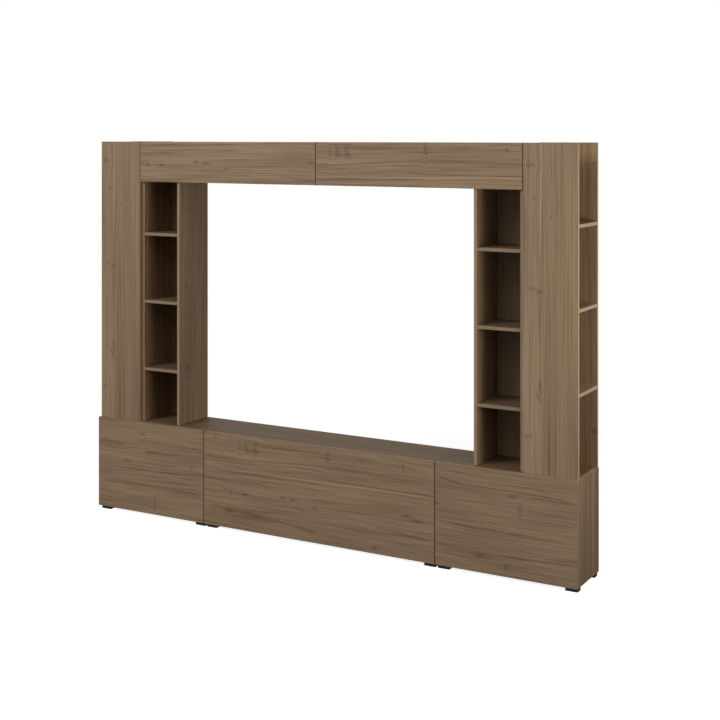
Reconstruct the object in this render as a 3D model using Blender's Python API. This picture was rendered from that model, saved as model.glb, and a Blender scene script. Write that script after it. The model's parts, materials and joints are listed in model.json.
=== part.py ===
"""Entertainment centre in walnut-faced board: three low cabinets, two towers, two upper cabinets.

Metres, +Z up. The origin is on the floor, in the middle of the footprint. +X is to the right of
someone who faces the fronts, and the fronts look along -Y.
"""
import math
from collections import namedtuple

import bmesh
import bpy
from mathutils import Vector

# Overall sizes
OVERALL_WIDTH = 2.738
OVERALL_DEPTH = 0.290
OVERALL_HEIGHT = 2.000
LOW_HEIGHT = 0.501
FOOT_HEIGHT = 0.020

# Boards and the gaps between them
BOARD = 0.016
THIN_BOARD = 0.003
EDGE_EASE = 0.0005
SEAT = 0.0003
FRONT_GAP = 0.003
FRONT_STANDOFF = 0.0015
BACK_INSET = 0.002

# Low cabinets
SIDE_FRONT_WIDTH = 0.7015

# Towers
TOWER_INSET = 0.004
TOWER_SETBACK = 0.002
TOWER_FRONT_WIDTH = 0.264
NICHE_WIDTH = 0.216
NICHE_END_HEIGHT = 0.2727
OUTER_CLEAR_SHARE = 0.2415
SHELVES_PER_NICHE = 3

# Upper cabinets
FLAP_HEIGHT = 0.2145
TOP_REVEAL = 0.003

# Feet
FOOT_WIDTH = 0.060
FOOT_DEPTH = 0.040
FOOT_SIDE_INSET = 0.006
FOOT_FRONT_SETBACK = 0.020
FOOT_REAR_SETBACK = 0.003
FOOT_EASE = 0.0015
FOOT_SPIGOT_RADIUS = 0.008
FOOT_SPIGOT_SIDES = 12

# Turning centre of a front, measured from its rear face and its hinged edge
PIVOT_FORWARD = 0.009
PIVOT_FROM_EDGE = 0.004

# Concealed hinge: cup in the front, arm and winged plate on the board behind it
CUP_DIAMETER = 0.035
CUP_DEPTH = 0.0115
CUP_WALL = 0.0012
CUP_ABOVE_BOARD = 0.010
EAR_PLATE_LENGTH = 0.062
EAR_PLATE_WIDTH = 0.018
EAR_PLATE_THICKNESS = 0.0015
EAR_COLLAR = 0.0012
HINGE_END_DISTANCE = 0.090
HINGE_SPACING_LIMIT = 0.600
CUP_SIDES = 24
ARM_WIDTH = 0.016
ARM_NOSE_WIDTH = 0.011
ARM_HEIGHT = 0.009
ARM_SHEET = 0.0015
ARM_LENGTH = 0.062
ARM_NOSE_LENGTH = 0.020
ARM_NOSE_DROP = 0.003
ARM_CLEARANCE = 0.002
PLATE_THICKNESS = 0.002
PLATE_LENGTH = 0.044
PLATE_WING_SPAN = 0.048
PLATE_WING_TIP_LENGTH = 0.014
PLATE_RIDGE_WIDTH = 0.010
PLATE_RIDGE_HEIGHT = 0.011
PLATE_SETBACK = 0.022

# Push latch: housing under the board opposite the hinges, plunger against the front
LATCH_LENGTH = 0.058
LATCH_BARREL_RADIUS = 0.007
LATCH_AXIS_HEIGHT = 0.009
LATCH_FOOT_WIDTH = 0.028
LATCH_FOOT_THICKNESS = 0.002
LATCH_BORE_RADIUS = 0.0045
LATCH_BORE_DEPTH = 0.044
LATCH_SETBACK = 0.0005
LATCH_REACH = 0.750
LATCH_BARREL_STEPS = 6
PLUNGER_FIT = 0.0004
PLUNGER_TIP_LENGTH = 0.003
PLUNGER_STEM_SHARE = 0.78
PLUNGER_SIDES = 16

# Edges of the turned and pressed pieces are sharp from this angle on
SHARP_ANGLE = math.radians(35)

# One overrun for every cut, and for every joint sunk into the board that carries it
OVERRUN = 0.001

# Planes that the pieces share
LEFT = -OVERALL_WIDTH / 2
RIGHT = OVERALL_WIDTH / 2
FRONT = -OVERALL_DEPTH / 2
REAR = OVERALL_DEPTH / 2
LOW_CARCASS_FRONT = FRONT + BOARD + FRONT_STANDOFF
TOWER_FRONT = LOW_CARCASS_FRONT + TOWER_SETBACK
TOWER_CARCASS_FRONT = TOWER_FRONT + BOARD + FRONT_STANDOFF
TOWER_BASE = LOW_HEIGHT + SEAT
FLAP_BOTTOM = OVERALL_HEIGHT - FLAP_HEIGHT
UPPER_TOP = OVERALL_HEIGHT - TOP_REVEAL
UPPER_REAR = REAR - BOARD

Box = namedtuple("Box", "x0 x1 y0 y1 z0 z1")
Span = namedtuple("Span", "low high")


def clear_scene():
    for item in list(bpy.data.objects):
        bpy.data.objects.remove(item, do_unlink=True)


def principled(name, colour, roughness, metallic=0.0):
    """A plain Principled material; colour is linear RGB."""
    material = bpy.data.materials.new(name)
    material.use_nodes = True
    shader = material.node_tree.nodes["Principled BSDF"]
    shader.inputs["Base Color"].default_value = (*colour, 1.0)
    shader.inputs["Roughness"].default_value = roughness
    shader.inputs["Metallic"].default_value = metallic
    material.diffuse_color = (*colour, 1.0)
    return material


def walnut(name):
    return principled(name, (0.235, 0.165, 0.108), 0.55)


def hardboard(name):
    return principled(name, (0.170, 0.115, 0.074), 0.65)


def grey_plastic(name):
    return principled(name, (0.250, 0.250, 0.245), 0.45)


def link(name, mesh, centre, finish, parent=None):
    """Put a mesh, drawn about its own centre, into the scene at its place."""
    piece = bpy.data.objects.new(name, mesh)
    bpy.context.scene.collection.objects.link(piece)
    piece.location = Vector(centre)
    if parent is not None:
        piece.parent = parent
        piece.location = Vector(centre) - parent.location
    mesh.materials.append(finish(name))
    return piece


def pivot(name, location):
    """An empty on the axis that a moving piece turns about or slides along."""
    axis = bpy.data.objects.new(name, None)
    bpy.context.scene.collection.objects.link(axis)
    axis.location = Vector(location)
    return axis


def finish_mesh(name, bm):
    bmesh.ops.recalc_face_normals(bm, faces=bm.faces)
    mesh = bpy.data.meshes.new(name)
    bm.to_mesh(mesh)
    bm.free()
    return mesh


def box_mesh(name, box):
    """A box about its own centre, and that centre."""
    size = Vector((box.x1 - box.x0, box.y1 - box.y0, box.z1 - box.z0))
    centre = Vector((box.x0, box.y0, box.z0)) + size / 2
    bm = bmesh.new()
    bmesh.ops.create_cube(bm, size=1)
    bmesh.ops.scale(bm, vec=size, verts=bm.verts)
    return finish_mesh(name, bm), centre


def board(name, box, finish=walnut, parent=None):
    """One board with its edges eased."""
    mesh, centre = box_mesh(name, box)
    piece = link(name, mesh, centre, finish, parent)
    bevel = piece.modifiers.new("eased edges", "BEVEL")
    bevel.width = EDGE_EASE
    bevel.segments = 1
    bevel.limit_method = "ANGLE"
    return piece


def ring_solid(bm, rings):
    """Skin a row of point rings of equal count and cap both ends: one closed solid."""
    loops = [[bm.verts.new(point) for point in ring] for ring in rings]
    count = len(loops[0])
    for first, second in zip(loops, loops[1:]):
        for index in range(count):
            following = (index + 1) % count
            bm.faces.new((first[index], first[following], second[following], second[index]))
    bm.faces.new(loops[0])
    bm.faces.new(loops[-1])


def solids_mesh(name, solids, centre):
    """One or more skinned solids, given in world coordinates and drawn about centre."""
    bm = bmesh.new()
    for rings in solids:
        ring_solid(bm, [[Vector(point) - centre for point in ring] for ring in rings])
    mesh = finish_mesh(name, bm)
    mesh.shade_smooth()
    mesh.set_sharp_from_angle(angle=SHARP_ANGLE)
    return mesh


def combine(piece, label, solids, operation):
    """Join solids to a piece, or cut them out of it. The hidden operand stays editable."""
    operand = bpy.data.objects.new(
        f"{piece.name}_{label}", solids_mesh(f"{piece.name}_{label}", solids, Vector()))
    bpy.context.scene.collection.objects.link(operand)
    operand.hide_render = True
    operand.display_type = "WIRE"
    step = piece.modifiers.new(label, "BOOLEAN")
    step.operation = operation
    step.solver = "EXACT"
    step.object = operand


def circle(radius, count):
    """Points of a circle about zero, as pairs."""
    turns = [2 * math.pi * step / count for step in range(count)]
    return [(radius * math.cos(turn), radius * math.sin(turn)) for turn in turns]


def prism_along_z(outline, x, y, low, high):
    return [[(x + across, y + along, z) for across, along in outline] for z in (low, high)]


def spaced(span, end_distance, spacing_limit):
    """Places along a span: one near each end, and more between them where they are far apart."""
    first, last = span.low + end_distance, span.high - end_distance
    steps = max(1, math.ceil((last - first) / spacing_limit))
    return [first + (last - first) * step / steps for step in range(steps + 1)]


def centred(span, reach):
    """Middles of the equal stretches of a span, none of them longer than reach."""
    count = math.ceil((span.high - span.low) / reach)
    stretch = (span.high - span.low) / count
    return [span.low + stretch * (step + 1 / 2) for step in range(count)]


# Cabinets


def carcass(name, x_span, y_span, z_span):
    """Two sides the full height, a top and a bottom between them, and a thin back nailed on.

    Returns the bottom and the top, which carry the fittings.
    """
    board_rear = y_span.high - THIN_BOARD - SEAT
    left_inner = x_span.low + BOARD
    right_inner = x_span.high - BOARD
    board(name + "_left_side", Box(x_span.low, left_inner, y_span.low, board_rear, *z_span))
    board(name + "_right_side", Box(right_inner, x_span.high, y_span.low, board_rear, *z_span))
    between = (left_inner + SEAT, right_inner - SEAT, y_span.low, board_rear)
    bottom = board(name + "_bottom", Box(*between, z_span.low, z_span.low + BOARD))
    top = board(name + "_top", Box(*between, z_span.high - BOARD, z_span.high))
    board(
        name + "_back",
        Box(
            x_span.low + BACK_INSET, x_span.high - BACK_INSET,
            y_span.high - THIN_BOARD, y_span.high,
            z_span.low + BACK_INSET, z_span.high - BACK_INSET,
        ),
        hardboard,
    )
    return bottom, top


def base_spans():
    """Left to right, each low cabinet's name, its carcass and its front along X."""
    gap_centre = LEFT + SIDE_FRONT_WIDTH + FRONT_GAP / 2
    carcass_end = gap_centre - SEAT / 2
    front_end = gap_centre - FRONT_GAP / 2
    return (
        ("left_base", Span(LEFT, carcass_end), Span(LEFT, front_end)),
        ("centre_base", Span(gap_centre + SEAT / 2, -gap_centre - SEAT / 2),
         Span(gap_centre + FRONT_GAP / 2, -gap_centre - FRONT_GAP / 2)),
        ("right_base", Span(-carcass_end, RIGHT), Span(-front_end, RIGHT)),
    )


def upper_spans():
    """Left to right, each upper cabinet's name, its carcass and its flap along X."""
    outer = partition_span().low
    return (
        ("left_upper", Span(outer, -SEAT / 2), Span(outer, -FRONT_GAP / 2)),
        ("right_upper", Span(SEAT / 2, -outer), Span(FRONT_GAP / 2, -outer)),
    )


# Towers, worked out for the left one and mirrored for the right


def partition_span():
    low = LEFT + TOWER_INSET + TOWER_FRONT_WIDTH + FRONT_GAP
    return Span(low, low + BOARD)


def inner_side_span():
    low = partition_span().high + NICHE_WIDTH
    return Span(low, low + BOARD)


def mirrored(box, side):
    """The box as it lies in the left tower (side -1) or the right one (side 1)."""
    if side < 0:
        return box
    return box._replace(x0=-box.x1, x1=-box.x0)


def inner_shelf_heights():
    """Undersides of the shelves in the niche that opens to the front, lowest first."""
    room = FLAP_BOTTOM - TOWER_BASE - 2 * NICHE_END_HEIGHT - SHELVES_PER_NICHE * BOARD
    clear = room / (SHELVES_PER_NICHE - 1)
    first = TOWER_BASE + NICHE_END_HEIGHT
    return [first + step * (clear + BOARD) for step in range(SHELVES_PER_NICHE)]


def outer_shelf_heights():
    """Undersides of the shelves in the niche that opens to the side, lowest first."""
    clear = OUTER_CLEAR_SHARE * (OVERALL_HEIGHT - TOWER_BASE)
    return [TOWER_BASE + clear + step * (clear + BOARD) for step in range(SHELVES_PER_NICHE)]


def tower(name, side):
    """Front panel, partition and inner side on end, two backs and two rows of shelves."""
    outer = LEFT + TOWER_INSET
    partition = partition_span()
    inner_side = inner_side_span()
    back_front = REAR - BOARD
    wall_top = FLAP_BOTTOM - SEAT

    def place(piece, box):
        board(name + piece, mirrored(box, side))

    place("_front_panel", Box(
        outer, outer + TOWER_FRONT_WIDTH, TOWER_FRONT, TOWER_FRONT + BOARD, TOWER_BASE, OVERALL_HEIGHT))
    place("_partition", Box(
        *partition, TOWER_CARCASS_FRONT, back_front - SEAT, TOWER_BASE, wall_top))
    place("_inner_side", Box(*inner_side, TOWER_CARCASS_FRONT, REAR, TOWER_BASE, wall_top))
    place("_outer_back", Box(outer, partition.high, back_front, REAR, TOWER_BASE, OVERALL_HEIGHT))
    place("_inner_back", Box(
        partition.high + SEAT, inner_side.low - SEAT, back_front, REAR, TOWER_BASE, wall_top))
    for number, height in enumerate(inner_shelf_heights(), 1):
        place(f"_inner_shelf_{number}", Box(
            partition.high + SEAT, inner_side.low - SEAT,
            TOWER_CARCASS_FRONT, back_front - SEAT, height, height + BOARD))
    for number, height in enumerate(outer_shelf_heights(), 1):
        place(f"_outer_shelf_{number}", Box(
            outer, partition.low - SEAT,
            TOWER_FRONT + BOARD + SEAT, back_front - SEAT, height, height + BOARD))


# Hinges, drawn for a front hinged at its lower edge, with up = 1, or its upper edge, up = -1.
# Each cup is one with its front, and each arm and plate with the board that carries them.


def ear_plate_outline():
    """Round collar of the cup joined to the long plate with its two ears, as pairs."""
    collar = CUP_DIAMETER / 2 + EAR_COLLAR
    half_length, half_width = EAR_PLATE_LENGTH / 2, EAR_PLATE_WIDTH / 2
    outline = []
    for step in range(CUP_SIDES):
        turn = 2 * math.pi * step / CUP_SIDES
        along, across = abs(math.cos(turn)), abs(math.sin(turn))
        if along * half_width > across * half_length:
            reach = half_length / along
        else:
            reach = half_width / across
        reach = max(collar, reach)
        outline.append((reach * math.cos(turn), reach * math.sin(turn)))
    return outline


def prism_along_y(outline, x, z, low, high):
    return [[(x + across, y, z + height) for across, height in outline] for y in (low, high)]


def hinge_cups(panel, places, rear_face, height):
    """Ear plates on the rear face of a front, and the round hollows of the cups."""
    outline = ear_plate_outline()
    combine(panel, "ear_plates", [
        prism_along_y(outline, x, height, rear_face - OVERRUN, rear_face + EAR_PLATE_THICKNESS)
        for x in places
    ], "UNION")
    hollow = circle(CUP_DIAMETER / 2 - CUP_WALL, CUP_SIDES)
    floor = rear_face - CUP_DEPTH + CUP_WALL
    mouth = rear_face + EAR_PLATE_THICKNESS + OVERRUN
    combine(panel, "cup_hollows", [
        prism_along_y(hollow, x, height, floor, mouth) for x in places
    ], "DIFFERENCE")


def hinge_arm(x, rear_face, board_face, up):
    """Pressed channel that reaches from the winged plate towards the cup, narrower at its nose."""
    top = PLATE_RIDGE_HEIGHT + ARM_SHEET / 2
    start = rear_face + EAR_PLATE_THICKNESS + ARM_CLEARANCE

    def section(y, width, drop):
        half = width / 2
        inner = half - ARM_SHEET
        high = top - drop
        low = top - ARM_HEIGHT
        outline = (
            (-half, low), (-half, high), (half, high), (half, low),
            (inner, low), (inner, high - ARM_SHEET), (-inner, high - ARM_SHEET), (-inner, low),
        )
        return [(x + across, y, board_face + up * height) for across, height in outline]

    return [
        section(start, ARM_NOSE_WIDTH, ARM_NOSE_DROP),
        section(start + ARM_NOSE_LENGTH / 2, ARM_NOSE_WIDTH, ARM_NOSE_DROP),
        section(start + ARM_NOSE_LENGTH, ARM_WIDTH, 0),
        section(start + ARM_LENGTH, ARM_WIDTH, 0),
    ]


def winged_plate(x, rear_face, board_face, up):
    """Mounting plate with two wings and a ridge that the arm clips over."""
    start = rear_face + PLATE_SETBACK
    ridge = PLATE_RIDGE_WIDTH / 2

    def section(y, half_span):
        outline = (
            (-half_span, -OVERRUN), (-half_span, PLATE_THICKNESS), (-ridge, PLATE_THICKNESS),
            (-ridge, PLATE_RIDGE_HEIGHT), (ridge, PLATE_RIDGE_HEIGHT), (ridge, PLATE_THICKNESS),
            (half_span, PLATE_THICKNESS), (half_span, -OVERRUN),
        )
        return [(x + across, y, board_face + up * height) for across, height in outline]

    wing = PLATE_WING_SPAN / 2
    root = ARM_WIDTH / 2
    tip_start = start + (PLATE_LENGTH - PLATE_WING_TIP_LENGTH) / 2
    return [
        section(start, root),
        section(tip_start, wing),
        section(tip_start + PLATE_WING_TIP_LENGTH, wing),
        section(start + PLATE_LENGTH, root),
    ]


# Push latches. Each hangs on or stands on the board at the front's free edge, up away from it


def latch_outline():
    """Half-round barrel on a wider foot, seen from the front, as pairs."""
    outline = []
    for step in range(LATCH_BARREL_STEPS + 1):
        turn = math.pi * step / LATCH_BARREL_STEPS
        outline.append((
            LATCH_BARREL_RADIUS * math.cos(turn),
            LATCH_AXIS_HEIGHT + LATCH_BARREL_RADIUS * math.sin(turn),
        ))
    half = LATCH_FOOT_WIDTH / 2
    return outline + [(-half, LATCH_FOOT_THICKNESS), (-half, -OVERRUN), (half, -OVERRUN),
                      (half, LATCH_FOOT_THICKNESS)]


def latch_housing(x, carcass_front, board_face, up):
    """The outline drawn out from just behind the carcass's front edge."""
    outline = latch_outline()
    return [
        [(x + across, y, board_face + up * height) for across, height in outline]
        for y in (carcass_front + LATCH_SETBACK, carcass_front + LATCH_LENGTH)
    ]


def latch_bore(x, carcass_front, board_face, up):
    outline = circle(LATCH_BORE_RADIUS, PLUNGER_SIDES)
    axis = board_face + up * LATCH_AXIS_HEIGHT
    return prism_along_y(outline, x, axis, carcass_front - OVERRUN, carcass_front + LATCH_BORE_DEPTH)


def latch_plunger(name, x, rear_face, carcass_front, board_face, up):
    """Turned plunger with a wider tip that stops just short of the front."""
    tip = LATCH_BORE_RADIUS - PLUNGER_FIT
    stem = tip * PLUNGER_STEM_SHARE
    nose = rear_face + SEAT
    axis = Vector((x, nose, board_face + up * LATCH_AXIS_HEIGHT))
    rings = []
    for radius, y in (
        (tip, nose),
        (tip, nose + PLUNGER_TIP_LENGTH),
        (stem, nose + PLUNGER_TIP_LENGTH),
        (stem, carcass_front + LATCH_BORE_DEPTH - SEAT),
    ):
        rings.append([(x + across, y, axis.z + height) for across, height in circle(radius, PLUNGER_SIDES)])
    slide = pivot(name + "_slide", axis)
    link(name, solids_mesh(name, [rings], axis), axis, grey_plastic, slide)


def hinged_front(name, x_span, z_span, face_front, hinge_board, latch_board, faces, up):
    """A handleless front with its hinges and its push latches.

    hinge_board and latch_board are the boards behind its hinged and its free edge, and faces
    holds the heights of their surfaces inside the cabinet. up is 1 where the front is hinged at
    its lower edge, and -1 where it is hinged at its upper edge.
    """
    hinge_face, latch_face = faces
    rear_face = face_front + BOARD
    carcass_front = rear_face + FRONT_STANDOFF
    hinge_edge = z_span.low if up > 0 else z_span.high
    hinge_places = spaced(x_span, HINGE_END_DISTANCE, HINGE_SPACING_LIMIT)
    latch_places = centred(x_span, LATCH_REACH)

    axis = pivot(name + "_axis", (
        (x_span.low + x_span.high) / 2, rear_face - PIVOT_FORWARD, hinge_edge + up * PIVOT_FROM_EDGE))
    panel = board(name, Box(*x_span, face_front, rear_face, *z_span), parent=axis)
    hinge_cups(panel, hinge_places, rear_face, hinge_face + up * CUP_ABOVE_BOARD)

    combine(hinge_board, "hinge_plates", [
        winged_plate(x, rear_face, hinge_face, up) for x in hinge_places], "UNION")
    combine(hinge_board, "hinge_arms", [
        hinge_arm(x, rear_face, hinge_face, up) for x in hinge_places], "UNION")
    combine(latch_board, "latch_housings", [
        latch_housing(x, carcass_front, latch_face, -up) for x in latch_places], "UNION")
    combine(latch_board, "latch_bores", [
        latch_bore(x, carcass_front, latch_face, -up) for x in latch_places], "DIFFERENCE")
    for number, x in enumerate(latch_places, 1):
        latch_plunger(f"{name}_plunger_{number}", x, rear_face, carcass_front, latch_face, -up)


def feet(bottom, x_span):
    """Four flat feet joined by their spigots to a low cabinet's bottom."""
    x_places = (x_span.low + FOOT_SIDE_INSET, x_span.high - FOOT_SIDE_INSET - FOOT_WIDTH)
    y_places = (FRONT + FOOT_FRONT_SETBACK, REAR - FOOT_REAR_SETBACK - FOOT_DEPTH)
    pads, spigots = [], []
    for x in x_places:
        for y in y_places:
            pads.append(foot_pad(x + FOOT_WIDTH / 2, y + FOOT_DEPTH / 2))
            spigots.append(prism_along_z(
                circle(FOOT_SPIGOT_RADIUS, FOOT_SPIGOT_SIDES),
                x + FOOT_WIDTH / 2, y + FOOT_DEPTH / 2, FOOT_HEIGHT / 2, FOOT_HEIGHT + OVERRUN))
    combine(bottom, "foot_spigots", spigots, "UNION")
    combine(bottom, "foot_pads", pads, "UNION")


def foot_pad(x, y):
    """Rectangular pad with its upright corners and its lower edge eased."""
    def outline(inset):
        half_x, half_y = FOOT_WIDTH / 2 - inset, FOOT_DEPTH / 2 - inset
        ease = FOOT_EASE
        return [
            (half_x, ease - half_y), (half_x, half_y - ease), (half_x - ease, half_y),
            (ease - half_x, half_y), (-half_x, half_y - ease), (-half_x, ease - half_y),
            (ease - half_x, -half_y), (half_x - ease, -half_y),
        ]

    rings = []
    for inset, z in ((FOOT_EASE, 0), (0, FOOT_EASE), (0, FOOT_HEIGHT - SEAT)):
        rings.append([(x + across, y + along, z) for across, along in outline(inset)])
    return rings


def build():
    clear_scene()

    for name, carcass_x, front_x in base_spans():
        bottom, top = carcass(
            name, carcass_x, Span(LOW_CARCASS_FRONT, REAR), Span(FOOT_HEIGHT, LOW_HEIGHT))
        feet(bottom, carcass_x)
        hinged_front(
            name + "_front", front_x, Span(FOOT_HEIGHT, LOW_HEIGHT), FRONT,
            bottom, top, (FOOT_HEIGHT + BOARD, LOW_HEIGHT - BOARD), 1)

    for name, carcass_x, flap_x in upper_spans():
        bottom, top = carcass(
            name, carcass_x, Span(TOWER_CARCASS_FRONT, UPPER_REAR - SEAT), Span(FLAP_BOTTOM, UPPER_TOP))
        hinged_front(
            name + "_flap", flap_x, Span(FLAP_BOTTOM, OVERALL_HEIGHT), TOWER_FRONT,
            top, bottom, (UPPER_TOP - BOARD, FLAP_BOTTOM + BOARD), -1)

    tower("left_tower", -1)
    tower("right_tower", 1)


build()
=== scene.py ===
"""Entertainment centre in walnut-decor board: its finishes, its fittings, the light and the camera.

Metres, +Z up, and the fronts look along -Y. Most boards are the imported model's own. The boards that
carry fittings there are made again here, so that each fitting is a piece in its own finish.
"""
import json
import math

import bmesh
import bpy
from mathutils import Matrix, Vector

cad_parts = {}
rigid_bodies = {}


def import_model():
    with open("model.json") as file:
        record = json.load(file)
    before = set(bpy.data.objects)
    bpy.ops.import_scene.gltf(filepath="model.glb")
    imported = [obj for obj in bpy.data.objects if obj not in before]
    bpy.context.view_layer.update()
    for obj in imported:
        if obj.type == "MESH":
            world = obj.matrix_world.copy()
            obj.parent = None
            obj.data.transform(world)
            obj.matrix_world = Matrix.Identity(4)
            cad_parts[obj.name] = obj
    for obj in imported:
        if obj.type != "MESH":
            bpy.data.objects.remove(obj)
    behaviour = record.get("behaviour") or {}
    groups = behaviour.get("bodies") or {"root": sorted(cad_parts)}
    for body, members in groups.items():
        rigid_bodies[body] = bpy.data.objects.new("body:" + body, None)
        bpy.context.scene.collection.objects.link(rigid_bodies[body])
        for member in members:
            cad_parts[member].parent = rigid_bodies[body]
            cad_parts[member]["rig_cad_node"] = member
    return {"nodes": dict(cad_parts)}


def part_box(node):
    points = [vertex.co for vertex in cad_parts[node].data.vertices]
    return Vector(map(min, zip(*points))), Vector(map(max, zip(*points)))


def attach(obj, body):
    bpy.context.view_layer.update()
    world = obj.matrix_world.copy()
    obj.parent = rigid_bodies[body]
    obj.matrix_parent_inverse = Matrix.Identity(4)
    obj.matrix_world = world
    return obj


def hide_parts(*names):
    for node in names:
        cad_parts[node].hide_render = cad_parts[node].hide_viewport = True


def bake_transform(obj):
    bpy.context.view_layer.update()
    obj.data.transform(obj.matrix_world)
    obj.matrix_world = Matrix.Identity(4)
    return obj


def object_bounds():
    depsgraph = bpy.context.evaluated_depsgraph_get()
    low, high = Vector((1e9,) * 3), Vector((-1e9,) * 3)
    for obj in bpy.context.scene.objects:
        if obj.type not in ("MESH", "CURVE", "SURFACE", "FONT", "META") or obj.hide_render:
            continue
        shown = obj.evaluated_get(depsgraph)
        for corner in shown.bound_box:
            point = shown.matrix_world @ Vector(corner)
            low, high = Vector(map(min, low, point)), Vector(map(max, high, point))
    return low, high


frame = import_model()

cad_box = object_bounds()

X, Y, Z = 0, 1, 2
WHITE = (1.0, 1.0, 1.0, 1.0)
# No painted light or shade
NO_PAINTED_LIGHT = (1.0, 1.0, 1.0)
# Faces that meet at more than this have an edge between them
EDGE_ANGLE = math.radians(40)

# Boards
BOARD = 0.016
SEAT = 0.0003
EDGE_ROUND = 0.0006
BANDING = 0.0008
GLUE_LINE = 0.0003

# Nails along the edges of the hardboard backs
NAIL_INSET = 0.006
NAIL_SPACING = 0.120
NAIL_RADIUS = 0.0016

# Feet
FOOT = Vector((0.060, 0.040, 0.0197))
FOOT_SIDE_INSET = 0.006
FOOT_FRONT_SETBACK = 0.020
FOOT_REAR_SETBACK = 0.003

# Hinges: x along the cabinet, y from the front's rear face, z from the face of the board
CUP_RADIUS = 0.0174
CUP_HOLLOW = 0.0163
CUP_DEPTH = 0.0115
CUP_RISE = 0.010
CUP_BORE_RADIUS = 0.0175
CUP_BORE_CLEARANCE = 0.0004
CUP_PIN = (-0.0065, 0.014)
EARS = Vector((0.062, 0.0015, 0.018))
EAR_SCREW_PLACE = 0.0245
COLLAR = 0.0012
HINGE_END_DISTANCE = 0.090
HINGE_SPACING_LIMIT = 0.600
ARM_START = 0.0035
ARM_LENGTH = 0.062
ARM_WIDTH = 0.016
ARM_TOP = 0.01175
ARM_UNDERSIDE = 0.00275
ARM_SHEET = 0.0015
ARM_NOSE_LENGTH = 0.020
ARM_NOSE_WIDTH = 0.011
ARM_NOSE_DROP = 0.003
ARM_SLOT = (0.034, 0.043)
FIXING_SCREW_PLACE = 0.051
ADJUSTING_SCREW_PLACE = 0.0285
NOSE_PIN = (0.0065, 0.0058)
NOSE_PIN_REACH = 0.0058
PLATE_START = 0.022
PLATE_LENGTH = 0.044
PLATE_THICKNESS = 0.002
RIDGE_WIDTH = 0.010
RIDGE_TOP = 0.0095
WING_SPAN = 0.048
WING_LENGTH = 0.014
WING_SCREW_PLACE = 0.0165
# Each link's end in the cup, and its height; both end alike in the arm's nose
LINKS = ((-0.0050, 0.0040), (-0.0075, 0.0072))
LINK_END = 0.0066
LINK_WIDTH = 0.0084
LINK_SHEET = 0.0013
# Along y and z, where the links leave the arm's nose and where they reach the cup's pin
LINKS_LEAVE = (0.0062, 0.006)
LINKS_REACH = (-0.0045, 0.006)

# Push latches: y from the carcass's front edge, z from the face of the board
LATCH_SETBACK = 0.0005
LATCH_LENGTH = 0.058
LATCH_AXIS = 0.009
LATCH_RADIUS = 0.007
LATCH_FOOT = 0.028
LATCH_FOOT_THICKNESS = 0.002
LATCH_SCREW_PLACE = 0.0105
LATCH_SCREW_STAGGER = 0.017
LATCH_BORE = 0.0045
LATCH_REACH = 0.750
PLUNGER_NOSE = -0.0012
PLUNGER_END = 0.0435

# Cam locks that draw the bottoms and tops to the sides
CAM_RADIUS = 0.0073
CAM_DEPTH = 0.0118
CAM_CLEARANCE = 0.0002
CAM_END_DISTANCE = 0.034
CAM_EDGE_DISTANCE = 0.037

LOW_CABINETS = ("left_base", "centre_base", "right_base")
UPPER_CABINETS = ("left_upper", "right_upper")

# The few small knots in the decor: along the grain, across it, length and height, in millimetres
KNOTS = {
    "centre_base_front": (
        (-594, 482, 10, 14), (-440, 446, 8, 26), (-400, 446, 13, 30), (-345, 448, 16, 28),
        (-392, 426, 16, 8), (-340, 428, 18, 8), (84, 456, 9, 30), (-530, 216, 14, 7),
        (-496, 206, 10, 10), (-407, 204, 16, 7), (-506, 109, 30, 10), (-180, 220, 14, 7),
        (-119, 216, 22, 7), (10, 190, 18, 7), (499, 458, 8, 11), (520, 224, 30, 7),
        (575, 208, 30, 7), (345, 48, 18, 9)),
    "left_base_front": (
        (-1065, 438, 16, 8), (-1166, 284, 22, 8), (-984, 76, 7, 24), (-745, 298, 14, 7),
        (-1021, 346, 26, 5)),
    "right_base_front": (
        (673, 311, 14, 10), (1060, 390, 20, 6), (1096, 331, 8, 26), (898, 96, 30, 8),
        (1027, 66, 9, 14)),
    "right_tower_front_panel": (
        (1899, 1138, 9, 24), (1750, 1158, 8, 14), (1665, 1237, 8, 8), (1340, 1150, 9, 16),
        (1326, 1180, 11, 13), (905, 1184, 20, 6), (876, 1188, 16, 5), (852, 1178, 14, 6),
        (866, 1168, 12, 4), (832, 1188, 12, 5), (668, 1126, 9, 24)),
    "right_tower_outer_back": (
        (1905, 1350, 7, 18), (667, 1353, 8, 20), (991, 1292, 8, 9)),
    "left_tower_inner_side": (
        (1643, -48, 7, 14), (1227, -48, 6, 16), (795, -34, 18, 10), (741, -42, 10, 8),
        (580, -83, 6, 12)),
}

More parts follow.
